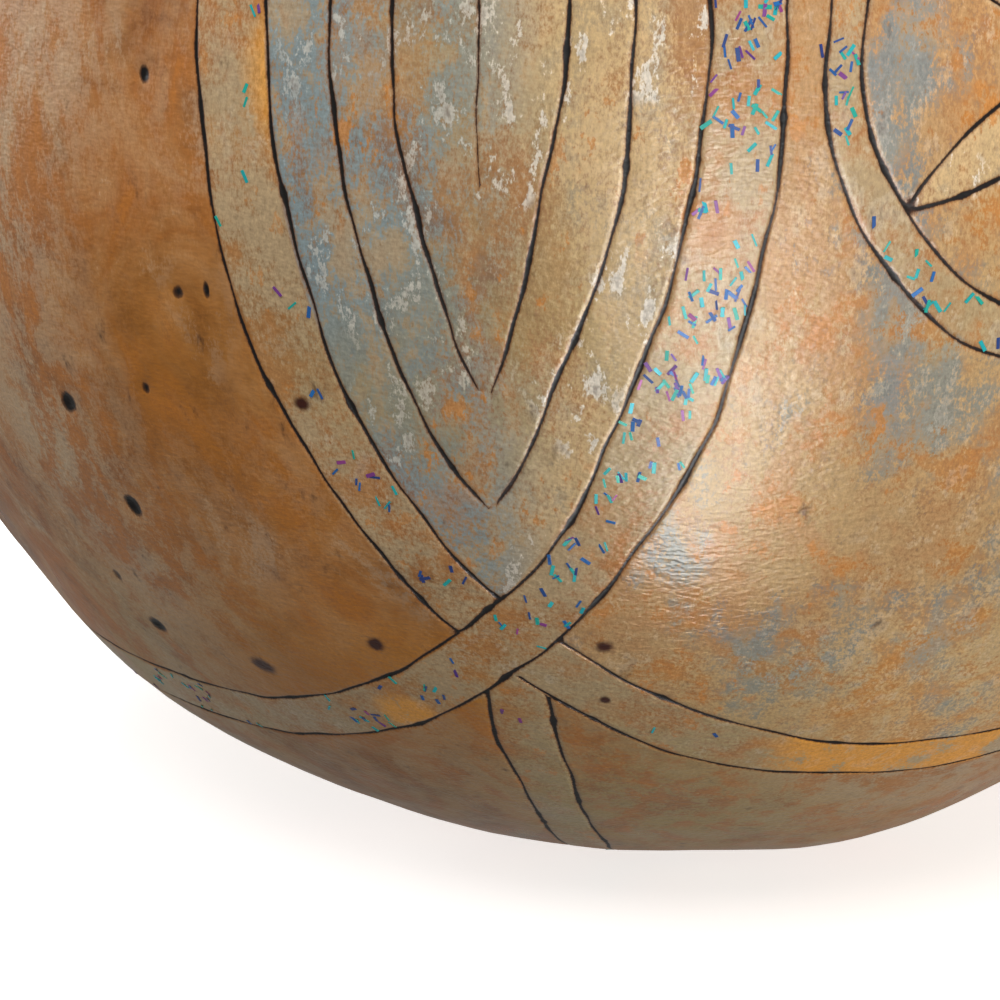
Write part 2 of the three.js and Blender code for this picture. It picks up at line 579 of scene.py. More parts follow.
    def in_spoke(self, direction, reach):
        """1 between the two lines of a spoke, whose half width changes evenly along it."""
        elevation = elevations_of(direction)
        across = np.abs(self.leaf_turn(direction)) * self.wall.belly * np.cos(elevation)
        share = np.where(
            elevation < self.foot,
            (elevation - self.tips[0]) / (self.BASE_HOOP - self.tips[0]),
            (elevation - self.tips[1]) / (self.SHOULDER_HOOP - self.tips[1]),
        )
        wide = self.SPOKE_SIDES[0] + (self.SPOKE_SIDES[1] - self.SPOKE_SIDES[0]) * share
        inside = smoothstep(wide - across, -SOFT_EDGE, SOFT_EDGE)
        beyond = (share > 0) & (share < 1) & (reach.min(1) > self.outer)
        return inside * beyond

    def masks(self, direction):
        """What is painted where, from 0 to 1, by name."""
        reach = self.reach(direction)
        nearest, second = np.sort(reach, 1)[:, :2].T
        leaf = self.filled(self.inner - second)
        ring = np.maximum.reduce([self.in_band(reach, k) for k in range(self.COUNT)])
        disc = self.filled(self.inner - nearest) * (1 - leaf) * (1 - ring)
        disc *= self.WASHED[reach.argmin(1)]
        band = np.maximum(ring, self.in_spoke(direction, reach))
        middle = (self.ROSETTE + self.ROSETTE_BAND) / 2
        half_width = (self.ROSETTE_BAND - self.ROSETTE) / 2
        for k, centres in self.petal_centres.items():
            band = np.maximum(band, self.filled(half_width - np.abs(reach[:, k] - middle)))
            # Three of the six arcs' circles overlap in a petal, and two between petals
            third = np.sort(angle_to(direction, centres.T), 1)[:, 2]
            petal = self.filled(self.petal_arc - third)
            leaf = np.maximum(leaf, petal * (reach[:, k] < self.ROSETTE))
        disc *= (1 - leaf) * (1 - band)
        half = smoothstep(self.leaf_turn(direction) * self.wall.belly, *self.TWO_TONE)
        return {"leaf": leaf, "band": band, "disc": disc, "half": half}


def around(centre, radius, turns):
    """Directions at an even angle from a centre, at each turn round it from straight up."""
    east = np.cross(UP, centre)
    east /= np.linalg.norm(east)
    north = np.cross(centre, east)
    round_it = np.cos(turns)[:, None] * north + np.sin(turns)[:, None] * east
    return math.cos(radius) * centre + math.sin(radius) * round_it


# Soft stains and pale places: azimuth, elevation, spread in degrees, then how pale, dark, warm
# and grey they are, from 0 to 1. Some are partly painted light: the first two are partly a
# painted reflection, a pale haze at the far left, and the two lowest are partly painted shade
# that makes the belly darker and greyer low down
STAINS_AND_PAINTED_LIGHT = (
    # Partly a painted reflection: these two make a pale haze at the far left
    (-136, -6, 8, 0.90, 0.0, 0.0, 0.1),
    (-133, -20, 7, 0.80, 0.0, 0.0, 0.2),
    (-128, 4, 6, 0.50, 0.0, 0.3, 0.0),
    (-115.5, 1, 4, 0.50, 0.0, 0.3, 0.0),
    (-120, -12, 7, 0.0, 0.40, 0.7, 0.0),
    (-121, -23, 6, 0.15, 0.30, 0.5, 0.0),
    (-112, -21, 5, 0.2, 0.1, 0.6, 0.0),
    (-129, -31, 7, 0.60, 0.20, 0.0, 0.1),
    (-133, -40, 7, 0.45, 0.20, 0.0, 0.5),
    (-119, -40, 8, 0.0, 0.20, 1.0, 0.0),
    (-105, -36, 10, 0.0, 0.0, 1.0, 0.0),
    (-106, -26.5, 2.6, 0.0, 1.00, 0.4, 0.0),
    (-109.7, -39.3, 1.9, 0.85, 0.0, 0.8, 0.0),
    # Partly painted shade: these two make the belly darker and greyer low down
    (-122, -52, 10, 0.1, 0.5, 0.5, 0.2),
    (-84, -50, 15, 0.1, 0.2, 0.0, 1.0),
    (-60, -8, 12, 0.6, 0.0, 0.9, 0.0),
    (-66, -39, 13, 1.0, 0.0, 0.8, 0.2),
    (-84, -18, 10, 0.40, 0.0, 0.0, 0.4),
    (-72, -8, 12, 0.30, 0.0, 0.1, 0.3),
    (-98, 6, 8, 0.1, 0.2, 0.1, 0.3),
)


def stains(direction):
    """Pale, dark, warm and grey shares, red spots, and clouds that drift all round.

    Each stain is a bell exp(-(angle / spread)^2) that replaces the clouds below it by its share.
    The pale share is partly a painted reflection at the far left, and the dark and grey shares
    are partly painted shade low on the belly.
    """
    names = ("pale", "dark", "warm", "grey")
    found = {
        name: 0.6 * smoothstep(waves(direction, 40 + n, (0.3, 0.9)), 0.0, 0.8)
        for n, name in enumerate(names)
    }
    for azimuth, elevation, spread, *shares in STAINS_AND_PAINTED_LIGHT:
        near = bell(direction, azimuth, elevation, spread)
        for name, share in zip(names, shares):
            found[name] = found[name] * (1 - near) + share * near
    found["clouds"] = smoothstep(waves(direction, 50, (0.10, 0.5), 20), -0.7, 0.7)
    found["drift"] = smoothstep(waves(direction, 51, (0.14, 0.6), 16), -0.6, 0.6)
    found["spot"] = np.zeros(len(direction))
    for azimuth, elevation, size in SPOTS:
        centre = towards(azimuth, elevation)
        away = np.linalg.norm(direction - centre, axis=1) * BELLY_RADIUS / (size * MM)
        found["spot"] = np.maximum(found["spot"], np.exp(-(away**2)))
    return found


def all_pits(count, seed=7):
    """The listed pits, and random ones on the sides that those leave empty.

    The random ones are even over the area, as the sine of their elevation is drawn.
    """
    rng = np.random.default_rng(seed)
    azimuth = rng.uniform(-50, 220, count)
    elevation = np.degrees(np.arcsin(rng.uniform(-0.93, 0.8, count)))
    length = rng.uniform(0.5, 1.2, count)
    width = length * rng.uniform(0.5, 0.8, count)
    strength = rng.uniform(0.3, 1, count)
    return np.concatenate([PITS, np.stack([azimuth, elevation, length, width, strength], -1)])


def facing(azimuth, elevation):
    """A direction given in degrees, and the unit vectors east and north of it."""
    centre, turn = towards(azimuth, elevation), math.radians(azimuth)
    east = np.array([-math.sin(turn), math.cos(turn), 0])
    return centre, east, np.cross(centre, east)


def pit_shape(direction, wall, pits):
    """Depth and darkness of the pits, with q = (x / half width)^2 + (y / half length)^2.

    The depth is a bell exp(-q), and the darkness is a flatter one exp(-q^2 / 1.6).
    """
    depth = np.zeros(len(direction))
    dark = np.zeros(len(direction))
    for azimuth, elevation, half_length, half_width, strength in pits:
        centre, east, north = facing(azimuth, elevation)
        near = np.nonzero(direction @ centre > math.cos(math.radians(4)))[0]
        x = direction[near] @ east * wall.belly / (half_width * MM)
        y = direction[near] @ north * wall.belly / (half_length * MM)
        q = x * x + y * y
        depth[near] = np.maximum(depth[near], PIT_DEPTH * strength * np.exp(-q))
        dark[near] = np.maximum(dark[near], strength * np.exp(-(q**2) / 1.6))
    return depth, dark


def surface_rise(direction, edge, wall, pits, groove):
    """Height of the skin, and the darkness of its pits.

    It is the sum of waves of 18 to 45 mm and of 5 to 11 mm and a low ridge beside each line, less
    the burned grooves, the pits and an even amount that keeps it inside the solid part.
    """
    long_waves = waves(direction * wall.belly, 11, (18 * MM, 45 * MM)) * 0.16 * MM
    short_waves = waves(direction * wall.belly, 12, (5 * MM, 11 * MM), 20) * 0.05 * MM
    grooves = groove * (1 - smoothstep(edge, -0.35 * MM, 0.22 * MM))
    ridges = 0.025 * MM * np.exp(-(((edge - 0.3 * MM) / (0.2 * MM)) ** 2))
    depth, dark = pit_shape(direction, wall, pits)
    return long_waves + short_waves - grooves + ridges - depth - SKIN_INSET, dark


def conformal_map(wall, steps=6000):
    """A table from run to the radius of a flat map that keeps angles: exp of the sum of ds / r."""
    run = np.linspace(wall.flat, wall.end, steps)
    slope = 1 / wall.outline(run)[0]
    total = np.concatenate([[0], np.cumsum((slope[1:] + slope[:-1]) / 2 * np.diff(run))])
    spread = np.exp(total - total[-1])
    return np.concatenate([[0], run]), np.concatenate([[0], spread])


def golden_spiral(wall, spacing, steps=6000):
    """Even points over the outside: equal steps of area, each turned on by the golden angle."""
    run = np.linspace(0, wall.end, steps)
    radius = wall.outline(run)[0]
    area = np.concatenate([[0], np.cumsum((radius[1:] + radius[:-1]) * math.pi * np.diff(run))])
    count = round(area[-1] / (spacing**2 * math.sqrt(3) / 2))
    share = (np.arange(count) + 0.5) / count
    runs = np.interp(share * area[-1], area, run)
    return runs, GOLDEN_ANGLE * np.arange(count)


def line_places(pattern, number, step):
    """Directions of the rows of points along one line, but for those nearer to another line.

    Where two lines cross, the later one's points give way.
    """
    line = pattern.lines[number]
    places = line.trace(step)
    own = np.tile(np.abs(line.rows), len(places) // len(line.rows))
    near = pattern.reach(places)
    keep = line.shown(places, near) > LEAST_SHOWN
    places, own, near = places[keep], own[keep], near[keep]
    keep = np.ones(len(places), bool)
    for other_number, other in enumerate(pattern.lines):
        if other_number != number:
            gap = pattern.line_gap(places, other, near)
            keep &= (gap > own) if other_number > number else (gap >= own + ROW_TIE)
    return places[keep]


def mark_places(wall, pattern, mark):
    """Directions of a point and oval rings round a pit or spot, but for those near a line."""
    azimuth, elevation, half_length, half_width = mark
    centre, east, north = facing(azimuth, elevation)
    turn = np.linspace(0, 2 * math.pi, MARK_SIDES, endpoint=False)
    for share in MARK_RINGS:
        angles = (turn if share else turn[:1])[:, None]
        away_east = np.cos(angles) * (share * half_width * MM / wall.belly) * east
        away_north = np.sin(angles) * (share * half_length * MM / wall.belly) * north
        ring = unit(centre + away_east + away_north)
        yield ring[pattern.line_edge(ring) > MARK_CLEAR]


def outside_places(wall, pattern, pits, spacing, step, rim_count):
    """Run and azimuth of every point of the outer face.

    The points are a golden spiral, closer rows along the burned lines, and small rings round the
    pits and spots. The last rim_count of them are the even ring at the rim.
    """
    run, azimuth = golden_spiral(wall, spacing)
    direction = wall.direction(run, azimuth)
    reach = pattern.reach(direction)
    free = run < wall.end - RIM_CLEAR * spacing
    closer = []
    for number, line in enumerate(pattern.lines):
        gap = pattern.line_gap(direction, line, reach)
        free &= gap > LINE_CLEAR * spacing + line.rows[-1] / 2
        closer.append(line_places(pattern, number, step))
    marks = [pit[:4] for pit in pits] + [(*spot[:2], spot[2], spot[2]) for spot in SPOTS]
    for mark in marks:
        near = angle_to(direction, towards(*mark[:2])) * wall.belly
        free &= near > (mark[2] * MARK_RINGS[-1] + 0.5) * MM
        closer.extend(mark_places(wall, pattern, mark))
    close_run, close_azimuth = wall.run_of(np.concatenate(closer))
    inside = close_run < wall.end - RIM_CLEAR * spacing
    rim_azimuth = 2 * math.pi * np.arange(rim_count) / rim_count
    runs = np.concatenate([run[free], close_run[inside], np.full(rim_count, wall.end)])
    azimuths = np.concatenate([azimuth[free], close_azimuth[inside], rim_azimuth])
    return runs, azimuths


def triangles_of(wall, run, azimuth):
    """Triangles that join the places, from a Delaunay net on the map that keeps angles."""
    table_run, table_spread = conformal_map(wall)
    spread = np.interp(run, table_run, table_spread)
    flat = np.stack([spread * np.cos(azimuth), spread * np.sin(azimuth)], -1)
    _, _, net, origins, *_ = delaunay_2d_cdt(
        [Vector(p) for p in flat.tolist()], [], [], 0, 1e-9, True
    )
    first_of = np.array([found[0] for found in origins])
    return first_of[np.array(net)][:, ::-1]


def strip(rows, columns, start=0):
    """Quads of a grid that closes on itself along its columns: rows run down, columns round."""
    row, column = np.meshgrid(np.arange(rows - 1), np.arange(columns), indexing="ij")
    here, after = row * columns + column, row * columns + (column + 1) % columns
    return np.stack([here, after, after + columns, here + columns], -1).reshape(-1, 4) + start


def make_mesh(name, points, triangles, smooth=True):
    """A mesh object at the origin from arrays of points and triangles."""
    mesh = bpy.data.meshes.new(name)
    mesh.vertices.add(len(points))
    mesh.vertices.foreach_set("co", np.asarray(points, np.float32).ravel())
    mesh.loops.add(triangles.size)
    mesh.loops.foreach_set("vertex_index", triangles.astype(np.int32).ravel())
    mesh.polygons.add(len(triangles))
    mesh.polygons.foreach_set("loop_start", np.arange(0, triangles.size, 3, dtype=np.int32))
    mesh.polygons.foreach_set("use_smooth", np.full(len(triangles), smooth))
    mesh.update(calc_edges=True)
    mesh.validate()
    made = bpy.data.objects.new(name, mesh)
    bpy.context.scene.collection.objects.link(made)
    return made


def add_attribute(made, name, values):
    """One number for each vertex, which a material reads by its name."""
    attribute = made.data.attributes.new(name, "FLOAT", "POINT")
    attribute.data.foreach_set("value", np.asarray(values, np.float32))


def gourd_surface(wall, pattern, sizes):
    """The whole gourd as one closed surface, and what is painted on each of its points.

    The outside is the Delaunay net. From its rim ring a grid runs over the cut rim and down the
    inside to the axis, each row a circle of the inner outline moved by the swells.
    """
    columns = sizes.rim_points
    pits = all_pits(sizes.random_pits)
    spacing, step = sizes.point_spacing, sizes.line_step
    run, azimuth = outside_places(wall, pattern, pits, spacing, step, columns)
    direction = wall.direction(run, azimuth)
    edge = pattern.line_edge(direction)
    rise, pit = surface_rise(direction, edge, wall, pits, sizes.groove_depth)
    from_flat = smoothstep(run, 0.9 * wall.flat, 1.3 * wall.flat)
    to_rim = 1 - smoothstep(run, wall.end - 8 * MM, wall.end)
    outer = wall.outside(run, azimuth, rise * from_flat * to_rim)
    outer_faces = triangles_of(wall, run, azimuth)
    outline = wall.inner_outline()
    rows = len(outline) - 1
    radius, height = np.repeat(outline[:-1], columns, axis=0).T
    inner = wall.swelled(turned(radius, height, np.tile(azimuth[-columns:], rows)))
    bottom = np.array([[0, 0, outline[-1, 1]]])
    start = len(run) - columns
    quads = strip(rows + 1, columns, start)
    inner_faces = np.concatenate([quads[:, [0, 1, 2]], quads[:, [0, 2, 3]]])
    last_ring = start + rows * columns + np.arange(columns)
    pole = np.full(columns, len(run) + rows * columns)
    cap = np.stack([last_ring, np.roll(last_ring, -1), pole], -1)
    points = np.concatenate([outer, inner, bottom])
    faces = np.concatenate([outer_faces, inner_faces, cap])
    # The pale share is partly a painted reflection at the far left, and the dark and grey shares
    # are partly painted shade low on the belly
    masks = pattern.masks(direction) | stains(direction)
    masks["line_edge"] = edge
    masks["pit"] = pit
    unpainted = np.zeros(len(inner) + 1)
    values = {name: np.concatenate([value, unpainted]) for name, value in masks.items()}
    values["line_edge"][len(run) :] = LINE_REACH
    values["inside"] = np.zeros(len(points))
    values["inside"][len(run) + RIM_ROWS * columns :] = 1
    return points, faces, values


def hex_colour(text):
    """Linear red, green and blue of an sRGB hex colour."""
    parts = [int(text[i : i + 2], 16) / 255 for i in (1, 3, 5)]
    return [p / 12.92 if p <= 0.04045 else ((p + 0.055) / 1.055) ** 2.4 for p in parts]


# The nodes that the materials use most: a name in plain words, then their type and settings
NODES = {
    "times": ("Math", {"operation": "MULTIPLY"}),
    "plus": ("Math", {"operation": "ADD"}),
    "minus": ("Math", {"operation": "SUBTRACT"}),
    "times_plus": ("Math", {"operation": "MULTIPLY_ADD"}),
    "most": ("Math", {"operation": "MAXIMUM"}),
    "ramp": ("MapRange", {"interpolation_type": "SMOOTHSTEP"}),
    "layer": ("Mix", {"data_type": "RGBA"}),
    "shade": ("Mix", {"data_type": "RGBA", "blend_type": "MULTIPLY"}),
    "mix": ("Mix", {"data_type": "FLOAT"}),
}


def add(tree, kind, *values, settings=None, inputs=None):
    """Adds a node with its settings and inputs, and returns its first output in use.

    The kind is a name in NODES or the type of a shader node. Values fill the inputs in order, and
    the dictionary fills them by name. A socket is linked, and anything else is a value.
    """
    kind, own_settings = NODES.get(kind, (kind, {}))
    node = tree.nodes.new("ShaderNode" + kind)
    for name, value in {**own_settings, **(settings or {})}.items():
        setattr(node, name, value)
    ready = [socket for socket in node.inputs if socket.enabled]
    pairs = list(zip(ready, values))
    for name, value in (inputs or {}).items():
        pairs.append((next(socket for socket in ready if socket.name == name), value))
    for socket, value in pairs:
        if isinstance(value, bpy.types.NodeSocket):
            tree.links.new(value, socket)
        elif socket.type == "RGBA":
            socket.default_value = (*value[:3], 1)
        else:
            socket.default_value = value
    return next((socket for socket in node.outputs if socket.enabled), node)


def new_material(name):
    """An empty material with its node tree and output node."""
    material = bpy.data.materials.new(name)
    material.use_nodes = True
    tree = material.node_tree
    tree.nodes.clear()
    return material, tree


# The vertex attributes that hold what is painted where on the gourd
PAINTED = (
    "leaf", "band", "disc", "half", "pale", "dark", "warm", "grey",
    "clouds", "drift", "spot", "line_edge", "pit", "inside",
)


def rind_material(colours):
    """Dried gourd rind with burned lines and thin washes, under brushed satin varnish.

    The rind is mottled from orange brown to tan. The lines are charred black with brown edges. The
    washes are brushed on nearly dry, so that the rind shows through in fine grains and worn chips.
    The varnish gives a broad, soft sheen.
    """
    material, tree = new_material("varnished_gourd_rind")
    node = functools.partial(add, tree)
    coords = node("TexCoord").node.outputs["Object"]
    # Most patterns run twice as long upwards, and the wrinkles run longer sideways
    upright = node("Mapping", inputs={"Vector": coords, "Scale": (1.0, 1.0, 0.5)})
    level = node("Mapping", inputs={"Vector": coords, "Scale": (0.55, 0.55, 1.0)})
    leaf, band, disc, half, pale, dark, warm, grey, clouds, drift, spot, edge, pit, inside = (
        node("Attribute", settings={"attribute_name": name}).node.outputs["Fac"]
        for name in PAINTED
    )

    # Noises by the size of their largest forms: worn places, marbling, blotches, chips, the fine
    # grain of dry paint on rind, and wrinkles in the varnish
    wear, marble, blotches, chips, grain, wrinkles = (
        node(
            "TexNoise",
            inputs={
                "Vector": place, "Scale": 1 / size, "Detail": detail, "Roughness": rough,
                "Distortion": twist,
            },
        )
        for size, detail, rough, twist, place in (
            (15 * MM, 3, 0.68, 0.0, upright),
            (13 * MM, 4, 0.60, 1.6, upright),
            (8 * MM, 3, 0.68, 0.0, coords),
            (2.6 * MM, 4, 0.62, 0.0, upright),
            (0.42 * MM, 2, 0.80, 0.0, upright),
            (0.6 * MM, 1, 0.60, 0.0, level),
        )
    )
    # The same noises with the grain in them, as dry paint breaks up at its edge
    speck = node("minus", grain, 0.5)
    dry_wear = node("times_plus", speck, 0.5, wear)
    dry_blotches = node("times_plus", speck, 0.5, blotches)
    dry_marble = node("times_plus", speck, 0.35, marble)
    dry_chips = node("times_plus", speck, 0.30, chips)
    mottle = node("times", node("plus", dry_marble, dry_chips), 0.5)

    # Each layer is a colour, what limits it if anything does, and a ramp: the value that it
    # follows, where it starts and ends, and how strong the layer is at its start and end
    veined = node("times", node("minus", 1.0, warm), node("ramp", clouds, 0.3, 0.9, 0.1, 0.55))
    rind = (
        (colours.rind_tan, None, marble, 0.38, 0.62, 0.0, 1.0),
        (colours.rind_brown, None, blotches, 0.50, 0.66, 0.0, 0.55),
        (colours.rind_glow, None, marble, 0.46, 0.34, 0.0, 0.5),
        (colours.rind_ochre, warm, dry_blotches, 0.25, 0.55, 0.55, 1.0),
        # Partly painted shade: the dark share darkens the belly low down
        (colours.dark_stain_and_shade, dark, dry_blotches, 0.34, 0.60, 0.30, 1.0),
        # Partly a painted reflection: the pale share gives a pale haze at the far left
        (colours.pale_bloom_and_reflection, pale, mottle, 0.43, 0.55, 0.15, 1.0),
        (colours.pale_bloom_and_reflection, veined, dry_marble, 0.56, 0.66, 0.0, 1.0),
    )

    # Washes: tan in the discs, blue grey to light in the leaves and pearly in the bands
    cool_share = node("ramp", node("plus", dry_blotches, dry_chips), 0.86, 1.06)
    cool = node("layer", cool_share, colours.wash_grey, colours.wash_blue)
    light_share = node("times", half, node("ramp", dry_blotches, 0.30, 0.54, 0.2, 0.95))
    two_tone = node("layer", light_share, cool, colours.wash_light)
    washes = (
        (colours.wash_tan, disc, dry_wear, 0.36, 0.56, 0.1, 0.85),
        (two_tone, leaf, dry_wear, 0.32, 0.52, 0.35, 0.97),
        (colours.wash_light, node("times", pale, disc), mottle, 0.44, 0.54, 0.1, 0.9),
        (cool, disc, dry_wear, 0.50, 0.38, 0.0, 0.8),
        (colours.rind_glow, disc, dry_blotches, 0.45, 0.36, 0.0, 0.6),
        (colours.wash_pearl, band, dry_blotches, 0.34, 0.60, 0.15, 0.9),
        # Partly painted shade: the grey share greys the belly low down
        (colours.olive_wash_and_shade, grey, mottle, 0.42, 0.54, 0.25, 0.92),
    )

    # Chips show orange rind, gold paint lies in patches, and dry-brush strokes are white
    paint = node("most", node("most", leaf, disc), node("times", band, 0.8))
    bare = node("times", paint, node("ramp", drift, 0.7, 0.1, 0.05, 0.7))
    golden = node("times_plus", band, 0.9, node("times", disc, 0.2))
    golden = node("times", golden, node("ramp", node("times", warm, pale), 0.10, 0.30))
    brushed = node("times", leaf, node("times_plus", half, 0.45, 0.45))
    brushed = node("times_plus", node("plus", band, disc), 0.14, brushed)
    brushed = node("times", brushed, node("ramp", drift, 0.20, 0.50))
    uneven = node("minus", chips, 0.5)
    flecks = (
        (colours.fleck_gold, bare, dry_chips, 0.40, 0.34, 0.0, 1.0),
        (colours.paint_gold, golden, dry_marble, 0.56, 0.50, 0.0, 1.0),
        (colours.fleck_white, brushed, dry_chips, 0.565, 0.625, 0.0, 1.0),
        (colours.spot_red, None, node("plus", uneven, spot), 0.15, 0.75, 0.0, 1.0),
    )

    # Burned lines are black in the middle and brown towards a ragged edge, with a slight scorched
    # halo. The rim is scorched where it was cut, and the inside is scraped pulp, stained brown.
    ragged = node("times_plus", speck, 0.25 * MM, edge)
    rough_pit = node("times_plus", uneven, 1.3, pit)
    height = node("SeparateXYZ", coords).node.outputs["Z"]
    cut = node("times_plus", blotches, 8 * MM, height)
    pulp_share = node("ramp", dry_blotches, 0.38, 0.62)
    pulp = node("layer", pulp_share, colours.pulp_dark, colours.pulp_light)
    burns = (
        (colours.scorch, None, ragged, 0.30 * MM, 0.0, 0.0, 0.6),
        (colours.burn_brown, None, ragged, 0.07 * MM, -0.03 * MM, 0.0, 1.0),
        (colours.burn_black, None, ragged, 0.0, -0.12 * MM, 0.0, 1.0),
        (colours.burn_brown, None, rough_pit, 0.15, 0.40, 0.0, 0.8),
        (colours.burn_black, None, rough_pit, 0.35, 0.65, 0.0, 1.0),
        (colours.rim_brown, None, cut, colours.rim_from, colours.rim_to, 0.0, 0.9),
    )

    def painted(skin, layers):
        """The skin with each layer laid over the last, as strong as its limit times its ramp."""
        for colour, limit, value, start, end, least, most in layers:
            share = node("ramp", value, start, end, least, most)
            if limit is not None:
                share = node("times", limit, share)
            skin = node("layer", share, skin, colour)
        return skin

    skin = painted(painted(painted(colours.rind_orange, rind), washes), flecks)
    # The grain shades everything, more where there is paint
    grain_shade = node("times_plus", speck, node("times_plus", paint, 0.40, 0.60), 1.0)
    skin = node("shade", 1.0, skin, node("CombineColor", *[grain_shade] * 3))
    skin = node("layer", inside, painted(skin, burns), pulp)

    # The varnish is glossier in some places, and dull on the char and on the pulp
    bump = node("Bump", inputs={"Strength": 0.7, "Distance": 0.14 * MM, "Height": wrinkles})
    roughness = node("ramp", wear, 0.35, 0.65, 0.27, 0.38)
    roughness = node("mix", node("ramp", ragged, 0.05 * MM, -0.1 * MM), roughness, 0.5)
    roughness = node("mix", inside, roughness, 0.9)
    surface = node(
        "BsdfPrincipled",
        inputs={
            "Base Color": skin, "Roughness": roughness, "Normal": bump, "IOR": 1.5,
            "Specular IOR Level": 0.28,
        },
    )
    node("OutputMaterial", surface)
    return material


def flake_material(name, colour, other):
    """Cut polyester film, dyed through: small bright bits of colour with a soft gleam.

    Each flake's colour lies somewhere between two tones.
    """
    material, tree = new_material(name)
    own = add(tree, "Attribute", settings={"attribute_name": "flake_tint"}).node.outputs["Fac"]
    tint = add(tree, "layer", own, colour, other)
    film = {"Base Color": tint, "Roughness": 0.4, "Specular IOR Level": 0.35}
    add(tree, "OutputMaterial", add(tree, "BsdfPrincipled", inputs=film))
    return material


# Where the glitter lies thickest: azimuth, elevation and spread in degrees
GLITTER_DRIFTS = ((-84, 4, 7), (-86, -10, 7), (-90, -20, 5), (-93, -25, 4), (-80, -6, 6))
# How high a flake's middle lies on the skin, and half its thickness
FLAKE_LIFT = 0.02 * MM
FLAKE_HALF_THICK = 0.03 * MM
# A plate's corners as signs along its three axes, and the twelve triangles between them
PLATE_CORNERS = np.array([[x, y, z] for z in (-1, 1) for y in (-1, 1) for x in (-1, 1)], float)
PLATE_FACES = np.array(
    [[0, 2, 3], [0, 3, 1], [4, 5, 7], [4, 7, 6], [0, 1, 5], [0, 5, 4],
     [2, 6, 7], [2, 7, 3], [0, 4, 6], [0, 6, 2], [1, 3, 7], [1, 7, 5]]
)


def flake_places(wall, pattern, tries, seed=21):
    """Directions of the flakes: random places in the bands, thicker in clusters of 6 to 16 mm."""
    rng = np.random.default_rng(seed)
    azimuth = rng.uniform(-math.pi, math.pi, tries)
    elevation = np.arcsin(rng.uniform(-0.95, 0.86, tries))
    direction = pointing(azimuth, elevation)
    cluster = waves(direction * wall.belly, 22, (6 * MM, 16 * MM), 16)
    drift = waves(direction * wall.belly, 23, (40 * MM, 110 * MM))
    chance = smoothstep(cluster, -0.2, 0.5) * smoothstep(drift, -0.6, 0.5) * 0.4
    for place in GLITTER_DRIFTS:
        chance = np.maximum(chance, bell(direction, *place) * smoothstep(cluster, -0.8, 0.1))
    clear = smoothstep(pattern.line_edge(direction), 0, 0.6 * MM)
    chance *= pattern.masks(direction)["band"] * clear
    return direction[rng.random(tries) < chance]


def flake_mesh(name, wall, pattern, pits, direction, sizes, seed):
    """Thin closed plates, each laid on the skin at a random turn with a slight random tilt.

    A plate's corners are its centre plus or minus half its length, width and thickness along its
    own three axes.
    """
    rng = np.random.default_rng(seed)
    count = len(direction)
    run, azimuth = wall.run_of(direction)
    edge = pattern.line_edge(direction)
    rise = surface_rise(direction, edge, wall, pits, sizes.groove_depth)[0]
    centre = wall.outside(run, azimuth, rise + FLAKE_LIFT)
    east = unit(np.cross(UP, direction))
    north = np.cross(direction, east)
    turn = rng.normal(math.pi / 2, 0.6, count)[:, None]
    along = np.cos(turn) * east + np.sin(turn) * north
    normal = unit(direction + rng.normal(0, 0.07, (count, 3)))
    across = unit(np.cross(normal, along))
    along = np.cross(across, normal)
    half_length = rng.uniform(0.7, 1.15, count) * sizes.flake_length / 2
    half_width = rng.uniform(0.5, 1.2, count) * sizes.flake_width / 2
    half = np.stack([half_length, half_width, np.full(count, FLAKE_HALF_THICK)], -1)
    axes = np.stack([along, across, normal], 1) * half[:, :, None]
    points = centre[:, None] + np.einsum("cs,nsk->nck", PLATE_CORNERS, axes)
    faces = (PLATE_FACES[None] + 8 * np.arange(count)[:, None, None]).reshape(-1, 3)
    made = make_mesh(name, points.reshape(-1, 3), faces, smooth=False)
    add_attribute(made, "flake_tint", np.repeat(rng.random(count), 8))
    return made


def length_prop(name, description, default):
    """A length in metres that the panel shows to a hundredth of a millimetre."""
    return FloatProperty(
        name=name, description=description, default=default, unit="LENGTH", precision=5
    )


def colour_prop(name, description, text):
    """A colour whose default is an sRGB hex value."""
    return FloatVectorProperty(
        name=name, description=description, default=hex_colour(text),
        subtype="COLOR", size=3, min=0, max=1,
    )


def count_prop(name, description, default, least=0):
    """A whole number with a least value."""
    return IntProperty(name=name, description=description, default=default, min=least)


class VaseSizes(bpy.types.PropertyGroup):
    """Sizes of the gourd and of what is drawn on it."""

    belly_radius: length_prop("Belly radius", "Radius of the round belly", BELLY_RADIUS)
    flat_spot_radius: length_prop("Flat spot", "Radius of the flat spot it stands on", 19.5 * MM)
    wall: length_prop("Wall", "Thickness of the rind", 6 * MM)
    throat_radius: length_prop("Throat", "Least radius of the neck's outside", 36 * MM)
    neck_curve_radius: length_prop("Neck curve", "Radius of the neck's hollow curve", 42 * MM)
    height: length_prop("Height", "Height of the vase", CAD_HIGH.z)
    rim_edge: length_prop("Rim edge", "Rounding of the cut rim's edges", 1.5 * MM)
    groove_depth: length_prop("Groove depth", "Depth of the burned lines", 0.19 * MM)
    point_spacing: length_prop("Point spacing", "Distance between points of the skin", 3.0 * MM)
    line_step: length_prop("Line step", "Distance between points along a line", 1.3 * MM)
    rim_points: count_prop("Rim points", "Points round the rim", 180, 24)
    random_pits: count_prop("Random pits", "Pits beside the placed ones", 34)
    flake_length: length_prop("Flake length", "Length of a glitter flake", 1.35 * MM)
    flake_width: length_prop("Flake width", "Width of a glitter flake", 0.40 * MM)
    flake_tries: count_prop("Flake tries", "Random places tried for glitter flakes", 90000)


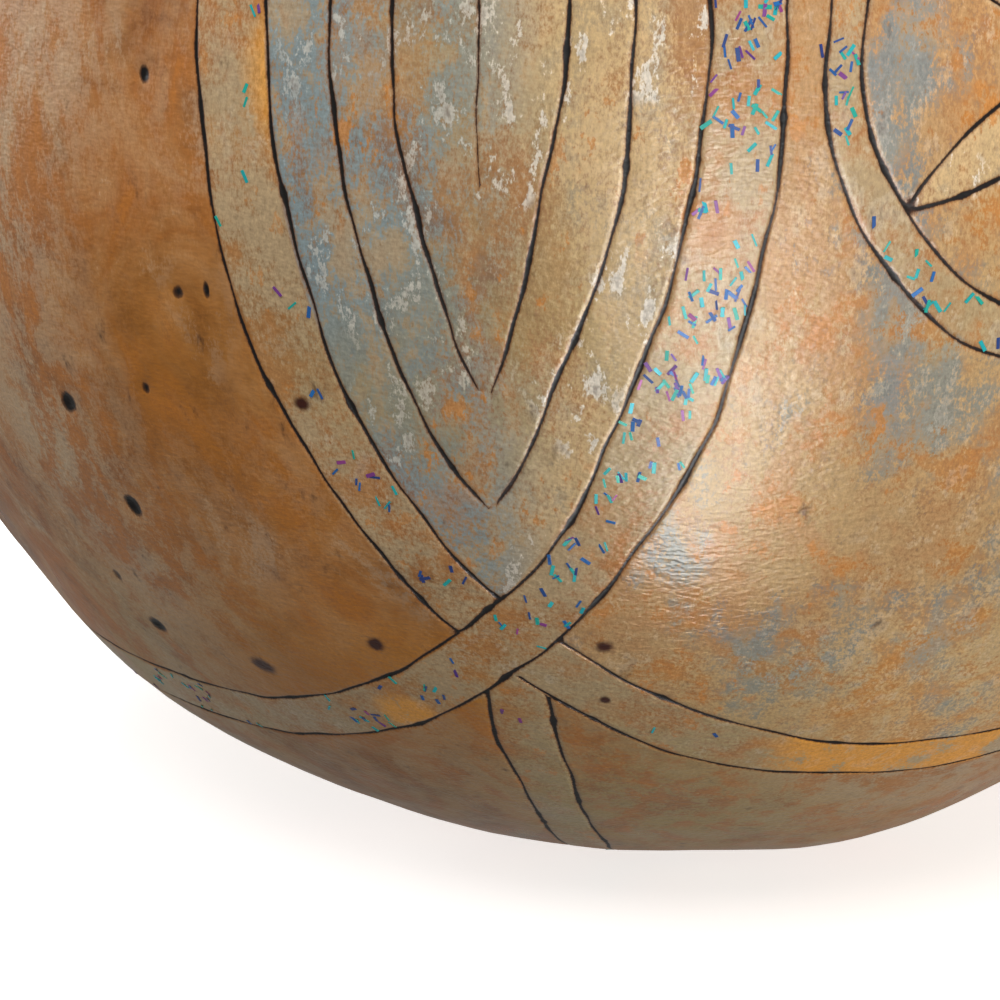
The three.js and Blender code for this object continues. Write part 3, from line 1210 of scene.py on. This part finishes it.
class VaseColours(bpy.types.PropertyGroup):
    """Colours of the rind, the washes, the burned lines and the glitter."""

    rind_orange: colour_prop("Rind orange", "Orange brown rind", "#a5622a")
    rind_tan: colour_prop("Rind tan", "Lighter rind", "#b98450")
    rind_brown: colour_prop("Rind brown", "Brown blotches", "#7a4419")
    rind_ochre: colour_prop("Rind ochre", "Warm ochre stains", "#b3700c")
    rind_glow: colour_prop("Rind glow", "Bright orange places of the rind", "#c07628")
    # Partly painted shade: it darkens the belly low down
    dark_stain_and_shade: colour_prop("Dark stain", "Dark brown stains", "#5c3310")
    spot_red: colour_prop("Red spots", "Reddish brown spots", "#3a1204")
    # Partly a painted reflection: it gives a pale haze at the far left
    pale_bloom_and_reflection: colour_prop("Pale bloom", "Pale places on the skin", "#b8a48c")
    wash_tan: colour_prop("Tan wash", "Thin tan paint", "#b18b60")
    wash_light: colour_prop("Light wash", "Thin beige paint", "#c9aa7d")
    wash_grey: colour_prop("Grey wash", "Thin warm grey paint", "#a5947a")
    wash_blue: colour_prop("Blue wash", "Thin blue grey paint", "#7c8c90")
    wash_pearl: colour_prop("Pearl wash", "Thin pearly paint in the bands", "#b09a78")
    # Partly painted shade: it greys the belly low down
    olive_wash_and_shade: colour_prop("Olive wash", "Greyish olive places", "#9a8756")
    fleck_white: colour_prop("White flecks", "Dry-brush strokes", "#d8cfc2")
    fleck_gold: colour_prop("Gold flecks", "Golden ochre spots", "#c4803a")
    paint_gold: colour_prop("Gold paint", "Patches of golden paint", "#e09a38")
    scorch: colour_prop("Scorch", "Brown halo beside a burned line", "#7a4a22")
    burn_brown: colour_prop("Burn brown", "Edge of a burned line", "#3f210e")
    burn_black: colour_prop("Burn black", "Middle of a burned line", "#0e0907")
    rim_brown: colour_prop("Rim brown", "Scorched rim", "#3a2110")
    pulp_dark: colour_prop("Dark pulp", "Stained inside", "#4e3320")
    pulp_light: colour_prop("Light pulp", "Scraped inside", "#7d5c3d")
    rim_from: length_prop("Rim from", "Height where the scorched rim starts", CAD_HIGH.z - 9 * MM)
    rim_to: length_prop("Rim to", "Height where the scorched rim is full", CAD_HIGH.z - 1 * MM)


class VASE_OT_gourd(bpy.types.Operator):
    """Makes the gourd with its burned lines and its finish"""

    bl_idname = "vase.gourd"
    bl_label = "Gourd"

    def execute(self, context):
        sizes, colours = context.scene.vase_sizes, context.scene.vase_colours
        wall = GourdWall(sizes)
        pattern = Pattern(wall)
        points, faces, values = gourd_surface(wall, pattern, sizes)
        gourd = make_mesh("gourd", points, faces)
        for name, value in values.items():
            add_attribute(gourd, name, value)
        gourd.data.materials.append(rind_material(colours))
        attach(gourd, "root")
        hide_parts("gourd_shell")
        return {"FINISHED"}


class VASE_OT_glitter(bpy.types.Operator):
    """Scatters the glitter flakes in the bands"""

    bl_idname = "vase.glitter"
    bl_label = "Glitter"

    # Name, which part of the random draws is this colour, and the two tones that it lies between
    KINDS = (
        ("glitter_turquoise", 0.0, 0.48, "#14a3b2", "#129a86"),
        ("glitter_blue", 0.48, 0.82, "#1763a6", "#22306e"),
        ("glitter_violet", 0.82, 1.0, "#4e2c80", "#98407f"),
    )

    def execute(self, context):
        sizes = context.scene.vase_sizes
        wall = GourdWall(sizes)
        pattern = Pattern(wall)
        pits = all_pits(sizes.random_pits)
        direction = flake_places(wall, pattern, sizes.flake_tries)
        draw = np.random.default_rng(31).random(len(direction))
        for number, (name, low, high, colour, other) in enumerate(self.KINDS):
            own = direction[(draw >= low) & (draw < high)]
            flakes = flake_mesh(name, wall, pattern, pits, own, sizes, 50 + number)
            film = flake_material(name + "_film", hex_colour(colour), hex_colour(other))
            flakes.data.materials.append(film)
            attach(flakes, "root")
        return {"FINISHED"}


# Soft rectangular lights: name, place, target, size, power in watts, colour, and whether they
# light matt surfaces and show in glossy ones
LIGHTS = (
    ("key", (0.88, -0.64, 0.04), (0, 0, 0.1), (0.35, 0.35), 6.5, (1, 0.97, 0.93), True, False),
    ("low", (0.80, -0.30, 0.04), (0.03, 0, 0.06), (0.4, 0.07), 2.4, (1, 0.97, 0.93), True, False),
    ("top", (-0.1, 0.0, 1.2), (0, 0, 0.1), (0.7, 0.7), 6.4, (1, 0.99, 0.97), True, True),
    ("left", (-0.85, 0.10, 0.30), (0, 0, 0.12), (0.5, 0.5), 2.0, (0.97, 0.98, 1), True, True),
    ("front", (-0.05, -0.72, 0.80), (0, 0, 0.10), (0.6, 0.4), 6.0, (1, 0.97, 0.92), True, False),
    (
        "card", (0.037, -0.285, 0.040), (0.014, -0.17, 0.30), (0.036, 0.30), 0.9,
        (0.93, 0.97, 1), False, True,
    ),
)


def area_light(name, place, target, size, power, colour, lights_matt, shows_in_gloss):
    """A rectangular light that shines from its place towards its target."""
    light = bpy.data.lights.new(name, "AREA")
    light.shape = "RECTANGLE"
    light.size, light.size_y = size
    light.energy = power
    light.color = colour
    made = bpy.data.objects.new(name, light)
    made.location = place
    made.rotation_euler = (Vector(target) - Vector(place)).to_track_quat("-Z", "Y").to_euler()
    made.visible_camera = False
    made.visible_diffuse = lights_matt
    made.visible_glossy = shows_in_gloss
    bpy.context.scene.collection.objects.link(made)


class VASE_OT_stage(bpy.types.Operator):
    """Sets up the floor, the lights and the camera"""

    bl_idname = "vase.stage"
    bl_label = "Stage"

    CAMERA_PLACE = (0.0, -0.4456, 0.1796)
    CAMERA_PITCH = -16.874
    CAMERA_YAW = -3.12
    CAMERA_LENS = 110.25
    CAMERA_SENSOR = 36
    CAMERA_CLIP = 0.01
    FLOOR_RADIUS = 6.0
    FLOOR_SIDES = 96
    # The floor lies a little lower than the flat spot, so that they share no plane
    FLOOR_HEIGHT = -0.2 * MM
    FLOOR_GLOW = 0.66
    SKY_COLOUR = (1.0, 0.99, 0.97)
    # How bright the sky is from below the horizon up, and as the camera sees it
    SKY_RAMP = (-0.6, 0.4, 0.30, 0.36)
    SKY_SEEN = 0.97

    def make_floor(self):
        """A round sheet of matt white paper, which glows a little so that it stays white.

        It is a fan of triangles round its middle.
        """
        turn = np.linspace(0, 2 * math.pi, self.FLOOR_SIDES, endpoint=False)
        points = np.concatenate([turned(self.FLOOR_RADIUS, 0 * turn, turn), [[0, 0, 0]]])
        side = np.arange(self.FLOOR_SIDES)
        middle = np.full(self.FLOOR_SIDES, self.FLOOR_SIDES)
        floor = make_mesh("floor", points, np.stack([side, np.roll(side, -1), middle], -1))
        floor.location.z = self.FLOOR_HEIGHT
        material, tree = new_material("matt_white_paper")
        fibres = add(tree, "TexNoise", inputs={"Scale": 900.0, "Detail": 3.0})
        white = add(tree, "layer", fibres, hex_colour("#f4f3f1"), hex_colour("#fbfaf8"))
        paper = {
            "Base Color": white, "Roughness": 0.8, "Emission Color": (1, 1, 1),
            "Emission Strength": self.FLOOR_GLOW,
        }
        add(tree, "OutputMaterial", add(tree, "BsdfPrincipled", inputs=paper))
        floor.data.materials.append(material)
        # The floor doesn't throw light back, so the gourd keeps a shaded underside
        floor.visible_diffuse = False
        floor.visible_glossy = False

    def make_sky(self, scene):
        """An even pale sky. Behind the floor's edge it looks as white as the floor."""
        world = bpy.data.worlds.new("studio")
        world.use_nodes = True
        tree = world.node_tree
        background = tree.nodes["Background"]
        background.inputs["Color"].default_value = (*self.SKY_COLOUR, 1)
        upward = add(tree, "TexCoord").node.outputs["Generated"]
        height = add(tree, "SeparateXYZ", upward).node.outputs["Z"]
        light = add(tree, "ramp", height, *self.SKY_RAMP)
        seen = add(tree, "LightPath").node.outputs["Is Camera Ray"]
        shown = add(tree, "mix", seen, light, self.SKY_SEEN)
        tree.links.new(shown, background.inputs["Strength"])
        scene.world = world

    def make_camera(self, scene):
        """A long lens that looks down a little at the lower front, as in the picture."""
        camera = bpy.data.cameras.new("camera")
        camera.lens = self.CAMERA_LENS
        camera.sensor_width = self.CAMERA_SENSOR
        camera.clip_start = self.CAMERA_CLIP
        made = bpy.data.objects.new("camera", camera)
        made.location = self.CAMERA_PLACE
        pitch, yaw = math.radians(90 + self.CAMERA_PITCH), math.radians(-self.CAMERA_YAW)
        made.rotation_euler = (pitch, 0, yaw)
        scene.collection.objects.link(made)
        scene.camera = made
        scene.view_settings.view_transform = "Standard"

    def execute(self, context):
        self.make_floor()
        self.make_sky(context.scene)
        for light in LIGHTS:
            area_light(*light)
        self.make_camera(context.scene)
        return {"FINISHED"}


class VASE_PT_panel(bpy.types.Panel):
    """Lists the vase's pieces, sizes and colours"""

    bl_label = "Gourd vase"
    bl_idname = "VASE_PT_panel"
    bl_space_type = "VIEW_3D"
    bl_region_type = "UI"
    bl_category = "Gourd vase"

    def draw(self, context):
        for operator in OPERATORS:
            self.layout.operator(operator.bl_idname)
        for group in (context.scene.vase_sizes, context.scene.vase_colours):
            for name in group.__annotations__:
                self.layout.prop(group, name)


OPERATORS = (VASE_OT_gourd, VASE_OT_glitter, VASE_OT_stage)
CLASSES = (VaseSizes, VaseColours, *OPERATORS, VASE_PT_panel)


def register():
    for cls in CLASSES:
        bpy.utils.register_class(cls)
    bpy.types.Scene.vase_sizes = PointerProperty(type=VaseSizes)
    bpy.types.Scene.vase_colours = PointerProperty(type=VaseColours)


def unregister():
    del bpy.types.Scene.vase_colours
    del bpy.types.Scene.vase_sizes
    for cls in reversed(CLASSES):
        bpy.utils.unregister_class(cls)


def main():
    """Makes every piece in order."""
    register()
    bpy.ops.vase.gourd()
    bpy.ops.vase.glitter()
    bpy.ops.vase.stage()


if __name__ == "__main__":
    main()
